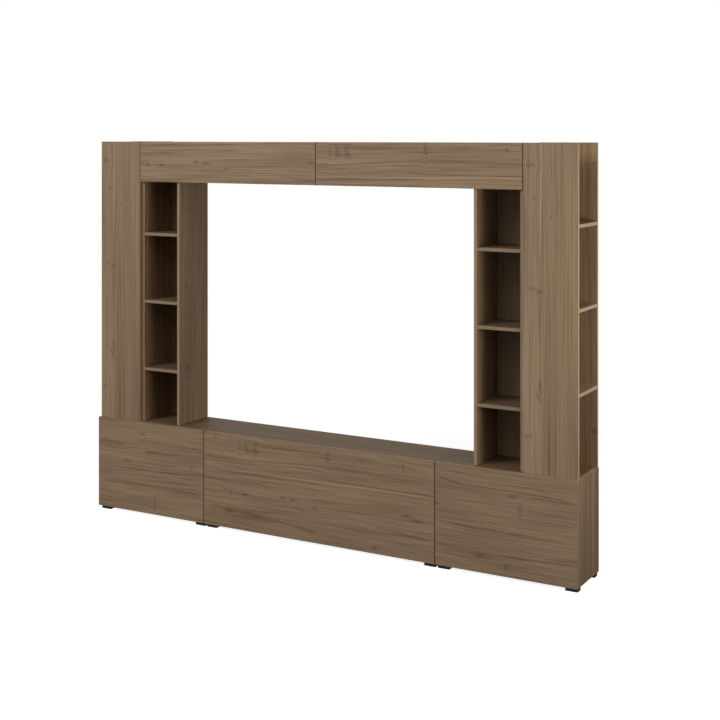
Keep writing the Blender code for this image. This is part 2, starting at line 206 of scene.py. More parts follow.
# Streaks of the decor that stand out: from along and across, to along and across, half width, all
# in millimetres, and how strong, dark above zero and pale below it
STREAKS = {
    "centre_base_front": (
        (-664, 319, 664, 328, 3, -0.62), (-664, 306, 100, 312, 6, 0.42),
        (-100, 342, 664, 334, 3.5, 0.58), (-664, 372, 0, 398, 5, 0.36),
        (-664, 128, -255, 102, 13, 0.5), (-300, 106, 60, 70, 9, 0.46),
        (300, 160, 664, 120, 9, 0.42), (-664, 262, -250, 274, 5, 0.3)),
    "left_base_front": (
        (-1369, 246, -957, 250, 4, 0.6), (-1000, 250, -664, 256, 5.5, 0.62),
        (-1369, 162, -907, 169, 6, 0.48), (-960, 168, -664, 164, 7, 0.6),
        (-1369, 382, -1180, 372, 6, 0.46), (-1060, 346, -800, 352, 3.5, 0.46),
        (-860, 408, -666, 392, 4.5, 0.44)),
    "right_base_front": (
        (673, 436, 817, 414, 4.5, 0.6), (780, 416, 1369, 408, 4, 0.58),
        (1130, 400, 1369, 396, 3, 0.56), (673, 225, 1369, 218, 6, 0.56),
        (673, 122, 980, 108, 5.5, 0.46), (940, 112, 1369, 124, 5, 0.46),
        (1020, 300, 1369, 296, 4, 0.44)),
    "right_tower_front_panel": (
        (1850, 1298, 510, 1297, 3, 0.5), (1990, 1290, 510, 1289, 2.5, -0.4),
        (1990, 1256, 1450, 1258, 2.5, 0.3), (1550, 1192, 1220, 1192, 2.8, 0.42),
        (1480, 1248, 1200, 1249, 2.8, 0.42), (1120, 1210, 850, 1211, 2.8, 0.4),
        (1100, 1325, 620, 1325, 3, 0.28), (915, 1189, 880, 1186, 3, 0.4)),
    "left_tower_inner_side": ((1106, 74, 819, -25, 6, 0.3),),
}

# Where, across the grain, a redder leaf of the decor starts, and how far the print blurs the joint
LEAF_JOINT = {"right_tower_front_panel": 1.195}
LEAF_BLUR = 0.004

# The printed sheet repeats: boards that show the same part of it as another, so far along and across
REPEATED = {
    "left_upper_flap": ("centre_base_front", 0.548, -1.672),
    "right_upper_flap": ("centre_base_front", -0.524, -1.508),
    "left_tower_front_panel": ("right_tower_front_panel", 0.0, 2.466),
}

# Painted light and shade: how much lighter or darker the print of a board's faces, its long edges and
# its short edges is made beside the rest; below one it is painted shade, as in the niches, on the low
# cabinets' tops and sides and in the gaps between fronts, above one it is painted light
PAINTED_LIGHT_AND_SHADE = {
    "left_upper_flap": (1.06, 1.05, 0.45), "right_upper_flap": (1.04, 1.05, 0.62),
    "left_tower_front_panel": (1.10, 0.98, 1.05), "right_tower_front_panel": (1.12, 1.05, 1.05),
    "left_tower_partition": (0.93, 0.80, 1.0), "right_tower_outer_back": (0.94, 1.0, 1.0),
    "left_tower_inner_back": (0.60, 1.0, 1.0), "right_tower_inner_back": (1.05, 1.0, 1.0),
    "left_tower_inner_side": (1.11, 1.02, 1.05), "right_tower_inner_side": (0.80, 1.08, 1.05),
    "left_base_front": (1.06, 0.95, 0.42), "centre_base_front": (1.08, 0.95, 0.42),
    "right_base_front": (1.03, 0.95, 0.72),
    "left_base_left_side": (0.66, 0.95, 0.95), "right_base_right_side": (0.68, 0.95, 0.95),
    "left_base_right_side": (0.70, 0.66, 0.46), "centre_base_left_side": (0.70, 0.66, 0.46),
    "centre_base_right_side": (0.70, 0.66, 0.46), "right_base_left_side": (0.70, 0.66, 0.46),
    "left_base_top": (0.54, 0.80, 0.80), "centre_base_top": (0.58, 0.80, 0.80),
    "right_base_top": (0.50, 0.80, 0.80),
}
# Painted shade on the shelves inside the towers
SHELF_PAINTED_SHADE = (0.52, 0.86, 0.86)

# Painted light colour: how much browner, or where it is below zero how much greyer, the print of a
# board is made than the fronts', for the warm or cool light that falls on it in the shade of other
# boards
PAINTED_SHADE_WARMTH = {
    "left_tower_partition": 0.16, "left_tower_inner_side": 0.03,
    "right_tower_inner_side": 0.13, "right_tower_inner_back": -0.14,
    "left_tower_outer_back": 0.13, "right_tower_outer_back": 0.17,
    "left_base_top": 0.18, "centre_base_top": 0.16, "right_base_top": 0.20,
    "left_base_left_side": 0.07, "right_base_right_side": 0.07,
}

# Battens in the front corners of the towers' outer bays, which tie the front panels to the partitions,
# and one on each inner back, which ties it to the upper cabinet
BATTEN = 0.012
BATTEN_TOP = 1.995


# --- modelling by hand


def only(piece):
    """Leave edit mode, and make one object the only one selected and the active one."""
    if bpy.context.mode != "OBJECT":
        bpy.ops.object.mode_set(mode="OBJECT")
    bpy.ops.object.select_all(action="DESELECT")
    piece.select_set(True)
    bpy.context.view_layer.objects.active = piece


def settle(piece, name):
    """Name a piece and put its place into its mesh."""
    only(piece)
    bpy.ops.object.transform_apply(location=True, rotation=True, scale=True)
    piece.name = piece.data.name = name
    return piece


def block(name, low, high):
    """A square-edged block between two corners."""
    bpy.ops.object.select_all(action="DESELECT")
    low, high = Vector(low), Vector(high)
    bpy.ops.mesh.primitive_cube_add(size=1.0, location=(low + high) / 2, scale=high - low)
    return settle(bpy.context.object, name)


def rod(name, first, last, radius, sides):
    """A round rod from one point to another."""
    bpy.ops.object.select_all(action="DESELECT")
    first, last = Vector(first), Vector(last)
    way = last - first
    bpy.ops.mesh.primitive_cylinder_add(
        vertices=sides, radius=radius, depth=way.length, location=(first + last) / 2,
        rotation=way.to_track_quat("Z", "Y").to_euler())
    return settle(bpy.context.object, name)


def modify(piece, kind, **settings):
    """Put one modifier on a piece and apply it."""
    step = piece.modifiers.new(kind, kind)
    for key, value in settings.items():
        setattr(step, key, value)
    only(piece)
    bpy.ops.object.modifier_apply(modifier=step.name)


def soften(piece, width, segments=2):
    """Round the edges of a piece and shade them smooth, with its large faces kept flat."""
    modify(piece, "BEVEL", width=width, segments=segments, limit_method="ANGLE",
           angle_limit=EDGE_ANGLE, use_clamp_overlap=True)
    only(piece)
    bpy.ops.object.shade_smooth_by_angle(angle=EDGE_ANGLE)
    modify(piece, "WEIGHTED_NORMAL", weight=100, keep_sharp=True)
    return piece


def joined(piece, *others, operation="UNION"):
    """Solids that are one casting, moulding or pressing."""
    for other in others:
        modify(piece, "BOOLEAN", object=other, operation=operation, solver="EXACT")
        bpy.data.objects.remove(other, do_unlink=True)
    return piece


def cut(piece, *tools):
    """Cut other solids out of a piece."""
    return joined(piece, *tools, operation="DIFFERENCE")


def edit(piece, kind, wanted, *steps):
    """Select the faces, edges or points that are wanted in edit mode, and run the steps on them."""
    only(piece)
    bpy.ops.object.mode_set(mode="EDIT")
    bpy.ops.mesh.select_mode(type=kind)
    bpy.ops.mesh.select_all(action="DESELECT")
    drawn = bmesh.from_edit_mesh(piece.data)
    for element in {"FACE": drawn.faces, "EDGE": drawn.edges, "VERT": drawn.verts}[kind]:
        if wanted(element):
            element.select_set(True)
    bmesh.update_edit_mesh(piece.data)
    for operator, settings in steps:
        operator(**settings)
    bpy.ops.object.mode_set(mode="OBJECT")


def round_corners(piece, axis, radius, segments=5):
    """Round the edges of a block that run along one axis."""
    def runs_along(edge):
        return abs((edge.verts[0].co - edge.verts[1].co)[axis]) > edge.calc_length() / 2
    edit(piece, "EDGE", runs_along, (bpy.ops.mesh.bevel, {"offset": radius, "segments": segments}))


def sink(piece, facing, rim, depth):
    """Leave a rim round the face that looks up (facing 1) or down (-1), and push the rest in."""
    edit(piece, "FACE", lambda face: face.normal.z * facing > 0.9,
         (bpy.ops.mesh.inset, {"thickness": rim}),
         (bpy.ops.mesh.extrude_region_move,
          {"TRANSFORM_OT_translate": {"value": (0, 0, -facing * depth)}}))


def cross_recess(piece, arm, width, floor, top):
    """Cut a cross for the screwdriver into a head that looks up."""
    return cut(piece, block("slot", (-arm, -width, floor), (arm, width, top)),
               block("cross_slot", (-width, -arm, floor), (width, arm, top)))


def cut_across(piece, y):
    """Cut all faces of a piece through at one place along Y."""
    edit(piece, "FACE", lambda face: True,
         (bpy.ops.mesh.bisect, {"plane_co": (0, y, 0), "plane_no": (0, 1, 0)}))


def kept_together(name, pieces):
    """Loose parts kept as one piece."""
    only(pieces[0])
    for piece in pieces[1:]:
        piece.select_set(True)
    bpy.ops.object.join()
    whole = bpy.context.object
    whole.name = whole.data.name = name
    return whole


def copied(master, name, move, turned=(0, 0, 0), hanging=False):
    """A copy with its own mesh, turned, put upside down if it hangs, and moved."""
    only(master)
    bpy.ops.object.duplicate()
    piece = bpy.context.object
    piece.rotation_euler = [math.radians(turn) for turn in turned]
    settle(piece, name)
    if hanging:
        piece.scale.z = -1.0
    piece.location = move
    settle(piece, name)
    if hanging:
        # A mirrored mesh is inside out until its normals are made again
        edit(piece, "FACE", lambda face: True, (bpy.ops.mesh.normals_make_consistent, {}))
        bpy.ops.mesh.customdata_custom_splitnormals_clear()
        modify(piece, "WEIGHTED_NORMAL", weight=100, keep_sharp=True)
    return piece


# --- node helpers


def linear(hex_colour):
    """An sRGB hex colour as linear RGBA."""
    channels = [int(hex_colour[start:start + 2], 16) / 255 for start in (1, 3, 5)]
    return tuple(c / 12.92 if c <= 0.04045 else ((c + 0.055) / 1.055) ** 2.4 for c in channels) + (1.0,)


def fill(tree, filled, inputs):
    """Link or set a node's inputs, which are given by name or number."""
    for key, value in inputs.items():
        if isinstance(value, bpy.types.NodeSocket):
            tree.links.new(value, filled.inputs[key])
        else:
            filled.inputs[key].default_value = value


def node(tree, kind, inputs=None, out=0, **settings):
    """Add a shader node with its settings and inputs, and hand back one output, or all for None."""
    made = tree.nodes.new("ShaderNode" + kind)
    for key, value in settings.items():
        setattr(made, key, value)
    fill(tree, made, inputs or {})
    return made.outputs if out is None else made.outputs[out]


def from_middle(tree, coordinate, low, high):
    """How far a coordinate is from the middle of a stretch, and half the stretch."""
    off = node(tree, "Math", {0: coordinate, 1: (low + high) / 2}, operation="SUBTRACT")
    return node(tree, "Math", {0: off}, operation="ABSOLUTE"), (high - low) / 2


# Settings of a mix of two colours, and of a range that eases in and out
COLOUR = {"data_type": "RGBA", "out": 2}
SMOOTH = {"interpolation_type": "SMOOTHSTEP"}


def new_material(name):
    """A material with its node tree and its principled shader."""
    material = bpy.data.materials.new(name)
    material.use_nodes = True
    return material, material.node_tree, material.node_tree.nodes["Principled BSDF"]


def finish(piece, material):
    """Put one material on all of a piece."""
    if not piece.material_slots:
        piece.data.materials.append(material)
    for each in piece.material_slots:
        each.material = material
    return piece


# --- finishes


# Layers of the printed decor, each laid over the last: which noise, from, to, how strong on upright
# and on level boards, colour
DECOR_LAYERS = (
    ("bands", 0.38, 0.62, 0.60, 0.50, "#816C54"), ("rose", 0.46, 0.64, 0.50, 0.50, "#8D6F59"),
    ("rings", 0.00, 1.00, 0.54, 0.30, "#5E4937"), ("veins", 0.56, 0.72, 0.74, 0.48, "#604B3A"),
    ("veins", 0.42, 0.28, 0.60, 0.42, "#A68E70"), ("lines", 0.52, 0.68, 0.56, 0.46, "#624D3B"),
    ("lines", 0.46, 0.32, 0.44, 0.34, "#A99072"),
)

# Noises stretched along the grain: features per metre along, across and through, detail, roughness
DECOR_NOISES = {
    "bands": ((0.6, 12.0, 1.0), 2.0, 0.5), "rose": ((0.9, 13.0, 3.0), 3.0, 0.55),
    "veins": ((1.1, 80.0, 1.0), 3.0, 0.55), "lines": ((1.6, 230.0, 1.0), 2.0, 0.5),
    "fading": ((1.4, 16.0, 1.0), 2.0, 0.5),
    # Pores are 0.4 mm wide and about 15 mm long
    "pores": ((66.0, 2400.0, 60.0), 1.0, 0.5),
}


def knot(tree, flat, bend, along, across, length, height):
    """Spread the grain round one knot, and give its new bend and how dark the knot's heart is."""
    from_knot = node(tree, "VectorMath", {0: flat, 1: (along, across, 0.0)}, operation="SUBTRACT")
    scaled = node(tree, "VectorMath", {0: from_knot, 1: (1 / length, 1 / height, 0.0)},
                  operation="MULTIPLY")
    reach = node(tree, "VectorMath", {0: scaled}, operation="LENGTH", out="Value")
    near = node(tree, "MapRange", {0: reach, 1: 0.0, 2: 4.0, 3: 1.0, 4: 0.0}, **SMOOTH)
    side = node(tree, "SeparateXYZ", {0: from_knot}, out=1)
    push = node(tree, "Math", {0: side, 1: near}, operation="MULTIPLY")
    bend = node(tree, "Math", {0: push, 1: -0.28, 2: bend}, operation="MULTIPLY_ADD")
    # The heart is a small fleck, frayed the long way of the knot
    strokes, depth = ((0.8, 3.2, 1.0), 0.60) if length > height else ((3.2, 0.8, 1.0), 0.46)
    strokes_at = node(tree, "VectorMath", {0: scaled, 1: strokes, 2: (along * 90, 0.0, 0.0)},
                      operation="MULTIPLY_ADD")
    fray = node(tree, "TexNoise", {"Vector": strokes_at, "Scale": 1.0, "Detail": 3.0})
    ragged = node(tree, "Math", {0: fray, 1: 4.5, 2: reach}, operation="MULTIPLY_ADD")
    heart = node(tree, "MapRange", {0: ragged, 1: 1.8, 2: 4.0, 3: depth, 4: 0.0}, **SMOOTH)
    return bend, heart


def growth_rings(tree, figure, bands, fading, upright):
    """Rings that darken slowly and break off sharply."""
    # They are 45 to 65 mm apart on the level fronts, 13 mm on the upright ones
    per_metre = 78.0 if upright else 19.0
    place = node(tree, "SeparateXYZ", {0: figure}, out=1)
    uneven = node(tree, "Math", {0: bands, 1: 3.0}, operation="MULTIPLY")
    ring = node(tree, "Math", {0: place, 1: per_metre, 2: uneven}, operation="MULTIPLY_ADD")
    ring = node(tree, "Math", {0: ring}, operation="FRACT")
    darkening = node(tree, "MapRange", {0: ring, 1: 0.55, 2: 0.92}, **SMOOTH)
    breaking = node(tree, "MapRange", {0: ring, 1: 0.92, 2: 1.0, 3: 1.0, 4: 0.0})
    ring = node(tree, "Math", {0: darkening, 1: breaking}, operation="MULTIPLY")
    fading = node(tree, "MapRange", {0: fading, 1: 0.36, 2: 0.66})
    return node(tree, "Math", {0: ring, 1: fading}, operation="MULTIPLY")


def streak(tree, streaked_at, broken, first_along, first_across, last_along, last_across, half_width,
           strength):
    """How strongly one long streak shows, which fades at its sides, at its ends and where it breaks."""
    run = Vector((last_along - first_along, last_across - first_across, 0.0))
    middle = Vector((first_along + last_along, first_across + last_across, 0.0)) / 2
    across_run = Vector((-run.y, run.x, 0.0)) / (run.length * half_width)
    from_streak = node(tree, "VectorMath", {0: streaked_at, 1: middle}, operation="SUBTRACT")
    off = node(tree, "VectorMath", {0: from_streak, 1: across_run}, out="Value",
               operation="DOT_PRODUCT")
    off = node(tree, "Math", {0: off}, operation="ABSOLUTE")
    body = node(tree, "MapRange", {0: off, 1: 0.2, 2: 1.4, 3: abs(strength), 4: 0.0}, **SMOOTH)
    reach = node(tree, "VectorMath", {0: from_streak, 1: run * 2 / run.length_squared}, out="Value",
                 operation="DOT_PRODUCT")
    reach = node(tree, "Math", {0: reach}, operation="ABSOLUTE")
    end = node(tree, "MapRange", {0: reach, 1: 0.6, 2: 1.05, 3: 1.0, 4: 0.0}, **SMOOTH)
    share = node(tree, "Math", {0: body, 1: end}, operation="MULTIPLY")
    return node(tree, "Math", {0: share, 1: broken}, operation="MULTIPLY")


def walnut_decor(name, low, high, grain, thin, shift, knots=(), streaks=(), leaf_joint=None,
                 tone=NO_PAINTED_LIGHT, painted_shade_warmth=0.0):
    """Melamine-faced particle board with a printed greyish walnut decor and ABS edge banding.

    The eye gets growth rings that darken slowly and break off sharply, wide apart where the grain
    lies level and close together where it stands, with fine veins, paler and redder patches, a few
    long streaks and small feathery knots, pores too fine to see from a step away, and a satin, not
    glossy, face.
    """
    material, tree, shader = new_material(name)
    cross = 3 - grain - thin
    upright = grain == Z
    axes = node(tree, "SeparateXYZ", {0: node(tree, "TexCoord", out="Object")}, out=None)
    along, across, through = axes[grain], axes[cross], axes[thin]
    flat = node(tree, "CombineXYZ", {0: along, 1: across, 2: through})
    shifted = node(tree, "Mapping", {"Vector": flat, "Location": shift})

    # The grain wanders by a centimetre or two over a metre, and less where it stands upright
    stretched = node(tree, "VectorMath", {0: shifted, 1: (0.9, 3.0, 1.0)}, operation="MULTIPLY")
    wander = node(tree, "TexNoise", {"Vector": stretched, "Scale": 1.0, "Detail": 2.5})
    drift = 0.008 if upright else 0.024
    bend = node(tree, "MapRange", {0: wander, 3: -drift, 4: drift})
    hearts = None
    for each in knots:
        bend, heart = knot(tree, flat, bend, *each)
        hearts = heart if hearts is None else node(
            tree, "Math", {0: hearts, 1: heart}, operation="MAXIMUM")

    sideways = node(tree, "CombineXYZ", {1: bend})
    figure = node(tree, "VectorMath", {0: shifted, 1: sideways}, operation="ADD")
    # On the level boards the patches and veins are half as long as on the upright ones
    shorter = (1.0, 1.0, 1.0) if upright else (2.0, 1.0, 1.0)
    figured = node(tree, "VectorMath", {0: figure, 1: shorter}, operation="MULTIPLY")
    noises = {}
    for layer, (per_metre, detail, roughness) in DECOR_NOISES.items():
        stretched = node(tree, "VectorMath", {0: figured, 1: per_metre}, operation="MULTIPLY")
        noises[layer] = node(tree, "TexNoise", {
            "Vector": stretched, "Scale": 1.0, "Detail": detail, "Roughness": roughness})
    noises["rings"] = growth_rings(tree, figure, noises["bands"], noises["fading"], upright)

    face = node(tree, "RGB")
    face.default_value = linear("#988166")
    for layer, first, last, most_upright, most_level, colour in DECOR_LAYERS:
        most = most_upright if upright else most_level
        share = node(tree, "MapRange", {0: noises[layer], 1: first, 2: last, 4: most})
        face = node(tree, "Mix", {0: share, 6: face, 7: linear(colour)}, **COLOUR)
    if streaks:
        streaked_at = node(tree, "VectorMath", {0: sideways, 1: (0.0, 0.3, 0.0), 2: flat},
                           operation="MULTIPLY_ADD")
        broken = node(tree, "MapRange", {0: noises["fading"], 1: 0.30, 2: 0.60, 3: 0.45, 4: 1.0})
    for each in streaks:
        share = streak(tree, streaked_at, broken, *each)
        colour = linear("#5A4633" if each[-1] > 0 else "#B09878")
        face = node(tree, "Mix", {0: share, 6: face, 7: colour}, **COLOUR)
    if hearts is not None:
        face = node(tree, "Mix", {0: hearts, 6: face, 7: linear("#453526")}, **COLOUR)
    if leaf_joint is not None:
        redder = node(tree, "MapRange", {
            0: across, 1: leaf_joint - LEAF_BLUR, 2: leaf_joint + LEAF_BLUR, 4: 0.31})
        face = node(tree, "Mix", {0: redder, 6: face, 7: linear("#7C6049")}, **COLOUR)
    pitted = node(tree, "MapRange", {0: noises["pores"], 1: 0.60, 2: 0.68, 4: 0.35})
    face = node(tree, "Mix", {0: pitted, 6: face, 7: linear("#403123")}, **COLOUR)

    # The banding shows on the narrow edges, with a fine dark glue line beside it
    masks = []
    for coordinate, axis in ((along, grain), (across, cross)):
        off, half = from_middle(tree, coordinate, low[axis], high[axis])
        for inset in (BANDING, BANDING + GLUE_LINE):
            masks.append(node(tree, "Math", {0: off, 1: half - inset}, operation="GREATER_THAN"))
    end_strip, end_glue, side_strip, side_glue = masks
    glue = node(tree, "Math", {0: end_glue, 1: side_glue}, operation="MAXIMUM")
    edge = node(tree, "Math", {0: end_strip, 1: side_strip}, operation="MAXIMUM")
    strip_line = node(tree, "Mix", {0: end_strip, 2: along, 3: across})
    strip_at = node(tree, "CombineXYZ", {0: strip_line, 1: through})
    strip_at = node(tree, "VectorMath", {0: strip_at, 1: (2.5, 420.0, 1.0)}, operation="MULTIPLY")
    strip = node(tree, "TexNoise", {"Vector": strip_at, "Scale": 1.0, "Detail": 3.0})
    strip = node(tree, "MapRange", {0: strip, 1: 0.38, 2: 0.62})
    strip = node(tree, "Mix", {0: strip, 6: linear("#A1896E"), 7: linear("#8E775D")}, **COLOUR)
    colour = node(tree, "Mix", {0: glue, 6: face, 7: linear("#57452F")}, **COLOUR)
    colour = node(tree, "Mix", {0: edge, 6: colour, 7: strip}, **COLOUR)
    # Painted light and shade: the print is made lighter or darker per board, with its long and its
    # short edges apart
    if tone != NO_PAINTED_LIGHT:
        shade = node(tree, "Mix", {0: side_strip, 2: tone[0], 3: tone[1]})
        shade = node(tree, "Mix", {0: end_strip, 2: shade, 3: tone[2]})
        colour = node(tree, "VectorMath", {0: colour, 3: shade}, operation="SCALE")
    # Painted light colour: the print is tinted browner or greyer, as the light that falls on the board
    # in shade
    if painted_shade_warmth:
        painted_light_tint = (1.0, 1.0 - 0.45 * painted_shade_warmth, 1.0 - painted_shade_warmth)
        colour = node(tree, "VectorMath", {0: colour, 1: painted_light_tint}, operation="MULTIPLY")

    sheen = node(tree, "MapRange", {0: noises["lines"], 1: 0.3, 2: 0.7, 3: 0.54, 4: 0.64})
    relief = node(tree, "Math", {0: noises["lines"], 1: 0.12, 2: pitted}, operation="MULTIPLY_ADD")
    bump = node(tree, "Bump", {"Strength": 0.25, "Distance": 0.00015, "Height": relief}, invert=True)
    fill(tree, shader, {"Base Color": colour, "Roughness": sheen, "Normal": bump,
                        "IOR": 1.5, "Specular IOR Level": 0.15})
    return material


def lacquered_hardboard(name, low, high):
    """Thin hardboard: a brown printed lacquer on the face inside, raw pressed fibre behind.

    The eye gets a flat dull brown face, and a mottled, matt and slightly netted rear with a row of
    nail heads near its edges.
    """
    material, tree, shader = new_material(name)
    place = node(tree, "TexCoord", out="Object")
    depth = node(tree, "SeparateXYZ", {0: place}, out=Y)
    rear = node(tree, "Math", {0: depth, 1: (low.y + high.y) / 2}, operation="GREATER_THAN")
    # Fibres lie in clumps 3 to 8 mm across, and the press leaves a net with a 1.5 mm mesh
    clumps = node(tree, "TexNoise", {"Vector": place, "Scale": 180.0, "Detail": 5.0})
    net = node(tree, "TexVoronoi", {"Vector": place, "Scale": 650.0})
    raw = node(tree, "Mix", {0: clumps, 6: linear("#5E4632"), 7: linear("#8A6C4E")}, **COLOUR)
    grain_at = node(tree, "VectorMath", {0: place, 1: (90.0, 90.0, 2.0)}, operation="MULTIPLY")
    grain = node(tree, "TexNoise", {"Vector": grain_at, "Scale": 1.0, "Detail": 3.0})
    lacquer = node(tree, "Mix", {0: grain, 6: linear("#6A5743"), 7: linear("#85705A")}, **COLOUR)
    across, _, height = node(tree, "SeparateXYZ", {0: place}, out=None)
    nails = None
    for row, line, axis in ((across, height, Z), (height, across, X)):
        off, half = from_middle(tree, line, low[axis], high[axis])
        inward = node(tree, "Math", {0: off, 1: half - NAIL_INSET}, operation="SUBTRACT")
        nearest = node(tree, "Math", {0: row, 1: NAIL_SPACING / 2}, operation="PINGPONG")
        spot = node(tree, "CombineXYZ", {0: inward, 1: nearest})
        reach = node(tree, "VectorMath", {0: spot}, operation="LENGTH", out="Value")
        nail = node(tree, "Math", {0: reach, 1: NAIL_RADIUS}, operation="LESS_THAN")
        nails = nail if nails is None else node(
            tree, "Math", {0: nails, 1: nail}, operation="MAXIMUM")
    raw = node(tree, "Mix", {0: nails, 6: raw, 7: linear("#8C8B88")}, **COLOUR)
    colour = node(tree, "Mix", {0: rear, 6: lacquer, 7: raw}, **COLOUR)
    dullness = node(tree, "Mix", {0: rear, 2: 0.45, 3: 0.78})
    netting = node(tree, "Math", {0: net, 1: rear}, operation="MULTIPLY")
    bump = node(tree, "Bump", {"Strength": 0.4, "Distance": 0.0002, "Height": netting})
    fill(tree, shader, {"Base Color": colour, "Roughness": dullness, "Normal": bump})
    return material


def nickel_plated_steel():
    """Pressed steel with bright nickel: faint drawing marks and warm grey reflections."""
    material, tree, shader = new_material("nickel_plated_steel")
    place = node(tree, "TexCoord", out="Object")
    # Drawing marks are 0.3 mm apart and run 10 mm and more
    marks_at = node(tree, "VectorMath", {0: place, 1: (3300.0, 90.0, 3300.0)}, operation="MULTIPLY")
    marks = node(tree, "TexNoise", {"Vector": marks_at, "Scale": 1.0, "Detail": 2.0})
    bloom = node(tree, "TexNoise", {"Vector": place, "Scale": 220.0, "Detail": 3.0})
    colour = node(tree, "Mix", {0: bloom, 6: linear("#B9B4AA"), 7: linear("#D2CDC2")}, **COLOUR)
    shine = node(tree, "MapRange", {0: marks, 1: 0.3, 2: 0.7, 3: 0.20, 4: 0.34})
    bump = node(tree, "Bump", {"Strength": 0.15, "Distance": 0.00005, "Height": marks})
    fill(tree, shader, {"Base Color": colour, "Metallic": 1.0, "Roughness": shine, "Normal": bump})
    return material


def even_finish(name, dark, pale, mottling, shine, relief, bump, **more):
    """One colour that is a little mottled, and duller where it is paler, over a fine relief.

    Mottling and relief are noises: features per metre, and detail. Shine is the least and the most
    roughness, bump is the relief's strength and its height.
    """
    material, tree, shader = new_material(name)
    place = node(tree, "TexCoord", out="Object")
    mottled, raised = [node(tree, "TexNoise", {"Vector": place, "Scale": scale, "Detail": detail})
                       for scale, detail in (mottling, relief)]
    colour = node(tree, "Mix", {0: mottled, 6: linear(dark), 7: linear(pale)}, **COLOUR)
    rough = node(tree, "MapRange", {0: mottled, 1: 0.3, 2: 0.7, 3: shine[0], 4: shine[1]})
    normal = node(tree, "Bump", {"Strength": bump[0], "Distance": bump[1], "Height": raised})
    fill(tree, shader, {"Base Color": colour, "Roughness": rough, "Normal": normal, **more})
    return material


# --- boards


NODE_NAMES = sorted(frame["nodes"])


def pattern_shift(node_name):
    """A place in the decor of its own for each board."""
    number = NODE_NAMES.index(node_name)
    return Vector((1.37 * number, 0.83 * (number % 7), 2.9 * number))


def lay_of(node_name):
    """Grain axis and thin axis of a board."""
    if node_name.endswith(("left_side", "right_side", "partition", "inner_side")):
        return Z, X
    if node_name.endswith(("front_panel", "outer_back", "inner_back")):
        return Z, Y
    if node_name.endswith(("front", "flap")):
        return X, Y
    return X, Z


def dress_board(piece, node_name, low, high):
    """The finish of a board, in a material of its own because its decor has its own place."""
    if node_name.endswith("_back") and "tower" not in node_name:
        return finish(piece, lacquered_hardboard("lacquered_hardboard_" + node_name, low, high))
    grain, thin = lay_of(node_name)
    home, along, across = REPEATED.get(node_name, (node_name, 0.0, 0.0))
    cross = 3 - grain - thin
    knots = [(a / 1000 - along, b / 1000 - across, length / 1000, height / 1000)
             for a, b, length, height in KNOTS.get(home, ())]
    knots = [knot for knot in knots
             if low[grain] < knot[0] < high[grain] and low[cross] < knot[1] < high[cross]]
    streaks = [(a / 1000 - along, b / 1000 - across, c / 1000 - along, d / 1000 - across,
                half_width / 1000, strength)
               for a, b, c, d, half_width, strength in STREAKS.get(home, ())]
    streaks = [streak for streak in streaks if low[cross] < streak[1] < high[cross]]
    leaf_joint = LEAF_JOINT[home] - across if home in LEAF_JOINT else None
    # Painted light and shade of this board
    tone = PAINTED_LIGHT_AND_SHADE.get(node_name, SHELF_PAINTED_SHADE if "inner_shelf" in node_name else NO_PAINTED_LIGHT)
    return finish(piece, walnut_decor(
        "walnut_decor_" + node_name, low, high, grain, thin,
        pattern_shift(home) + Vector((along, across, 0.0)), knots, streaks, leaf_joint, tone,
        PAINTED_SHADE_WARMTH.get(node_name, 0.0)))


def board_between(cabinet, level):
    """Corners of a cabinet's bottom or top, which lies between its two sides."""
    left_low, left_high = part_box(cabinet + "_left_side")
    right_low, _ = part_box(cabinet + "_right_side")
    floor_z = left_low.z if level == "bottom" else left_high.z - BOARD
    return (Vector((left_high.x + SEAT, left_low.y, floor_z)),
            Vector((right_low.x - SEAT, left_high.y, floor_z + BOARD)))


def spaced(first_end, last_end):
    """Hinge places along a front: one near each end, and more between them on a long front."""
    first, last = first_end + HINGE_END_DISTANCE, last_end - HINGE_END_DISTANCE
    steps = max(1, math.ceil((last - first) / HINGE_SPACING_LIMIT))
    return [first + (last - first) * step / steps for step in range(steps + 1)]


def centred(first_end, last_end):
    """Latch places along a front: middles of equal stretches of it."""
    count = math.ceil((last_end - first_end) / LATCH_REACH)
    stretch = (last_end - first_end) / count
    return [first_end + stretch * (step + 1 / 2) for step in range(count)]


# --- fittings, each modelled once about its own zero


def screw_head(name, radius):
    """A low countersunk head with a cross recess, looking up."""
    head = soften(rod(name, (0, 0, -0.0006), (0, 0, 0.0006), radius, 20), 0.0003)
    return cross_recess(head, radius * 0.62, radius * 0.15, 0.0, 0.002)


def hinge_cup():
    """Drawn steel cup with its collar and its two ears, screwed into a front."""
    cup = rod("hinge_cup", (0, -CUP_DEPTH, CUP_RISE), (0, EARS.y, CUP_RISE), CUP_RADIUS, 48)
    collar = rod("collar", (0, 0, CUP_RISE), (0, EARS.y, CUP_RISE), CUP_RADIUS + COLLAR, 48)
    ears = block("ears", (-EARS.x / 2, 0, CUP_RISE - EARS.z / 2),
                 (EARS.x / 2, EARS.y, CUP_RISE + EARS.z / 2))
    round_corners(ears, Y, 0.006)
    joined(cup, collar, ears)
    cut(cup, rod("hollow", (0, CUP_DEPTH * -0.9, CUP_RISE), (0, 0.01, CUP_RISE), CUP_HOLLOW, 48))
    soften(cup, 0.0003)
    screws = [copied(ear_screw, "ear_screw", (end * EAR_SCREW_PLACE, EARS.y, CUP_RISE),
                     (-90, 0, 20 * end)) for end in (-1, 1)]
    # The pin that the inner links turn on lies across the cup
    pin = rod("cup_pin", (-CUP_HOLLOW, *CUP_PIN), (CUP_HOLLOW, *CUP_PIN), 0.0014, 12)
    return kept_together("hinge_cup", [cup, pin] + screws)


